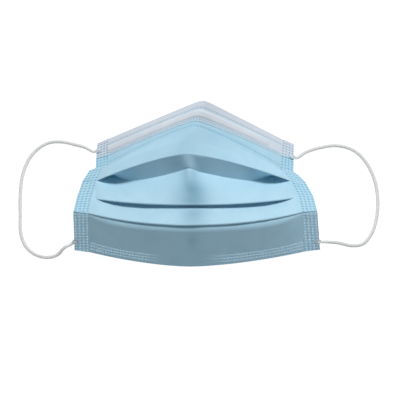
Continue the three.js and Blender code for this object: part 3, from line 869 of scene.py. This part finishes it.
def build_tab(name, end):
    """A loop end pressed flat on the corner, with the horn's small grid in it."""
    edge, outward, face = end_frame(end)
    beside = np.cross(face, outward)
    columns, rows = TAB_COLUMNS, TAB_ROWS
    across = np.linspace(-1, 1, rows)
    vertices, faces = [], []
    for level in (1, 0):
        for i in range(columns):
            share = i / (columns - 1)
            run = mix(TAB_OVERHANG, TAB_OVERHANG - TAB_LENGTH, share)
            rounding = max(0.0, (share - TAB_ROUND_FROM) / (1 - TAB_ROUND_FROM))
            width = TAB_WIDTH / 2 * math.sqrt(max(0.02, 1 - rounding ** 2))
            for v in across:
                dip = HORN_DEPTH * float(dots(run, v * width, HORN_PITCH, HORN_PITCH, HORN_DOT, HORN_DOT))
                thick = TAB_THICKNESS * (1 - SIDE_THINNING * abs(v) ** 4) * (1 - END_THINNING * share)
                up = thick - dip if level else 0.0
                vertices.append(edge + outward * run + beside * (v * width) + face * up)
    faces += grid_faces(columns, rows, flip=True)
    faces += grid_faces(columns, rows, offset=columns * rows)
    border = grid_border(columns, rows)
    under = columns * rows
    for k, a in enumerate(border):
        b = border[(k + 1) % len(border)]
        faces.append([a, b, b + under, a + under])
    return new_object(name, (np.array(vertices) + shift) * MM, faces, [pressed])


def smooth_path(points, step):
    """Points at an even step on a centripetal Catmull-Rom curve through the given ones, and its length."""
    points = np.array(points, dtype=float)
    knots = np.concatenate([[0], np.cumsum(np.linalg.norm(np.diff(points, axis=0), axis=1) ** 0.5)])
    ends = [2 * points[0] - points[1], 2 * points[-1] - points[-2]]
    padded = np.concatenate([[ends[0]], points, [ends[1]]])
    t = np.concatenate([[2 * knots[0] - knots[1]], knots, [2 * knots[-1] - knots[-2]]])
    out = []
    for i in range(1, len(padded) - 2):
        for k in np.linspace(0, 1, 24, endpoint=False):
            x = mix(t[i], t[i + 1], k)
            a = [mix(padded[j], padded[j + 1], (x - t[j]) / (t[j + 1] - t[j])) for j in (i - 1, i, i + 1)]
            b = [mix(a[j], a[j + 1], (x - t[i - 1 + j]) / (t[i + 1 + j] - t[i - 1 + j])) for j in (0, 1)]
            out.append(mix(b[0], b[1], (x - t[i]) / (t[i + 1] - t[i])))
    out = np.array(out + [padded[-2]])
    run = np.concatenate([[0], np.cumsum(np.linalg.norm(np.diff(out, axis=0), axis=1))])
    even = np.linspace(0, run[-1], max(2, round(run[-1] / step)) + 1)
    return np.stack([np.interp(even, run, out[:, k]) for k in range(3)], axis=1), run[-1]


def loop_ends(end, reach):
    """Points where a loop leaves its welded end, at distances past the cloth's edge."""
    edge, outward, face = end_frame(end)
    return [edge + face * TAB_THICKNESS * CORD_IN_TAB + outward * distance for distance in reach]


def build_loop(name, route, top, bottom):
    """A round knitted elastic, pressed flat where it meets its welded ends."""
    table = -shift[2]
    chosen = loop_ends(top, (-LOOP_IN_TAB, TAB_OVERHANG + LOOP_TOP_START))
    chosen += [np.array([x, y, z + table]) for x, y, z in route]
    chosen += loop_ends(bottom, (TAB_OVERHANG + LOOP_DIAMETER, -LOOP_IN_TAB))
    path, length = smooth_path(chosen, CORD_STEP)
    path[:, 2] = np.maximum(path[:, 2], table + LOOP_DIAMETER / 2)
    tangents = np.gradient(path, axis=0)
    tangents /= np.linalg.norm(tangents, axis=1, keepdims=True)
    side = np.cross(tangents, np.array([0, 0, 1.0]))
    side /= np.linalg.norm(side, axis=1, keepdims=True)
    up = np.cross(side, tangents)
    angle = np.linspace(0, 2 * np.pi, CORD_SIDES, endpoint=False)
    run = np.linspace(0, length, len(path))
    # Stitches: wales run along the cord, courses round it
    course = run[:, None] / STITCH_COURSE
    wale = angle[None, :] * STITCH_WALES / (2 * np.pi)
    stitch = 0.5 + 0.5 * np.cos(2 * np.pi * (course + 0.5 * np.abs((wale % 1) * 2 - 1)))
    ridge = np.abs(np.sin(np.pi * wale))
    groove = 1 - mix(stitch, ridge, WALE_SHARE)
    radius = LOOP_DIAMETER / 2 - STITCH_DEPTH * groove
    near_end = np.minimum(run, length - run)[:, None]
    pull = np.where(run < length / 2, top["pull"], bottom["pull"])[:, None]
    flat = mix(LOOP_FLATNESS, 1.0, smooth(near_end, *FLAT_REACH))
    wide = mix(pull, 1.0, smooth(near_end, *PULL_REACH))
    ring = path[:, None, :] + side[:, None, :] * (np.cos(angle)[None, :, None] * (radius * wide)[..., None])
    ring = ring + up[:, None, :] * (np.sin(angle)[None, :, None] * (radius * flat)[..., None])
    faces = tube_faces(len(path), CORD_SIDES)
    obj = new_object(name, (ring.reshape(-1, 3) + shift) * MM, faces, [elastic])
    add_attribute(obj, "groove", groove.ravel())
    around = angle * LOOP_DIAMETER / 2
    add_cloth_map(obj, np.tile(around, len(path)), np.repeat(run, CORD_SIDES))
    return obj, [tuple((p + shift) * MM) for p in path], length * MM


tabs = {name: build_tab(f"loop_end_{name}", end) for name, end in LOOP_ENDS.items()}
left_loop, left_path, left_length = build_loop(
    "ear_loop_left_elastic", LEFT_ROUTE, LOOP_ENDS["top_left"], LOOP_ENDS["bottom_left"])
right_loop, right_path, right_length = build_loop(
    "ear_loop_right_elastic", RIGHT_ROUTE, LOOP_ENDS["top_right"], LOOP_ENDS["bottom_right"])


# What stands for what, and how it is declared
for piece in (outer_ply, inner_ply, band, wire, left_loop, right_loop, *tabs.values()):
    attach(piece, "root")
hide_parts("pleated_body")
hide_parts("nose_band")
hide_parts("nose_wire")
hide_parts("ear_loop_left")
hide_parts("ear_loop_right")
for name, tab in tabs.items():
    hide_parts(f"loop_tab_{name}")


# The white table, the studio light and the camera

def build_table():
    """The table's top, 6 metres across."""
    half = 3.0
    table = new_object("table", [(-half, -half, 0), (half, -half, 0), (half, half, 0), (-half, half, 0)],
                       [[0, 1, 2, 3]], [white_table()], smooth_faces=False)


def area_light(name, azimuth, elevation, distance, size, power):
    """A soft white light that faces the mask; azimuth 0 is straight beyond the nose edge."""
    lamp = bpy.data.lights.new(name, "AREA")
    lamp.shape = "DISK"
    lamp.size = size
    lamp.energy = power
    obj = bpy.data.objects.new(name, lamp)
    a, e = math.radians(azimuth), math.radians(elevation)
    place = Vector((math.sin(a) * math.cos(e), math.cos(a) * math.cos(e), math.sin(e))) * distance
    obj.location = place
    obj.rotation_euler = place.to_track_quat("Z", "Y").to_euler()
    bpy.context.scene.collection.objects.link(obj)


# The strength of the even light from all sides
STUDIO_FILL = 0.2
# The camera's elevation in degrees, its distance and the point it looks at in millimetres, and its
# focal length in pixels of the photograph's frame
CAMERA_ELEVATION = 74.7
CAMERA_DISTANCE = 520.0
FOCAL_PIXELS = 755.0
LOOK_OVER = 34.9
LOOK_RIGHT = 2.75
FRAME_PIXELS = 400
SENSOR = 36.0


def build_camera():
    """The photograph's view: from the chin side and high above."""
    e = math.radians(CAMERA_ELEVATION)
    up = Vector((0, math.sin(e), math.cos(e)))
    back = Vector((0, -math.cos(e), math.sin(e)))
    place = Vector((LOOK_RIGHT, 0, 0)) + up * LOOK_OVER + back * CAMERA_DISTANCE + Vector(shift)
    camera = bpy.data.cameras.new("photo_view")
    camera.sensor_width = SENSOR
    camera.lens = SENSOR * FOCAL_PIXELS / FRAME_PIXELS
    camera.clip_start = 0.01
    obj = bpy.data.objects.new("photo_view", camera)
    obj.location = place * MM
    obj.rotation_euler = back.to_track_quat("Z", "Y").to_euler()
    bpy.context.scene.collection.objects.link(obj)
    bpy.context.scene.camera = obj


def build_world():
    world = bpy.data.worlds.new("studio")
    world.use_nodes = True
    background = world.node_tree.nodes["Background"]
    background.inputs["Color"].default_value = (1, 1, 1, 1)
    background.inputs["Strength"].default_value = STUDIO_FILL
    bpy.context.scene.world = world


build_table()
build_world()
area_light("key", azimuth=10, elevation=55, distance=1.6, size=0.5, power=24.5)
build_camera()
bpy.context.scene.view_settings.view_transform = "Standard"
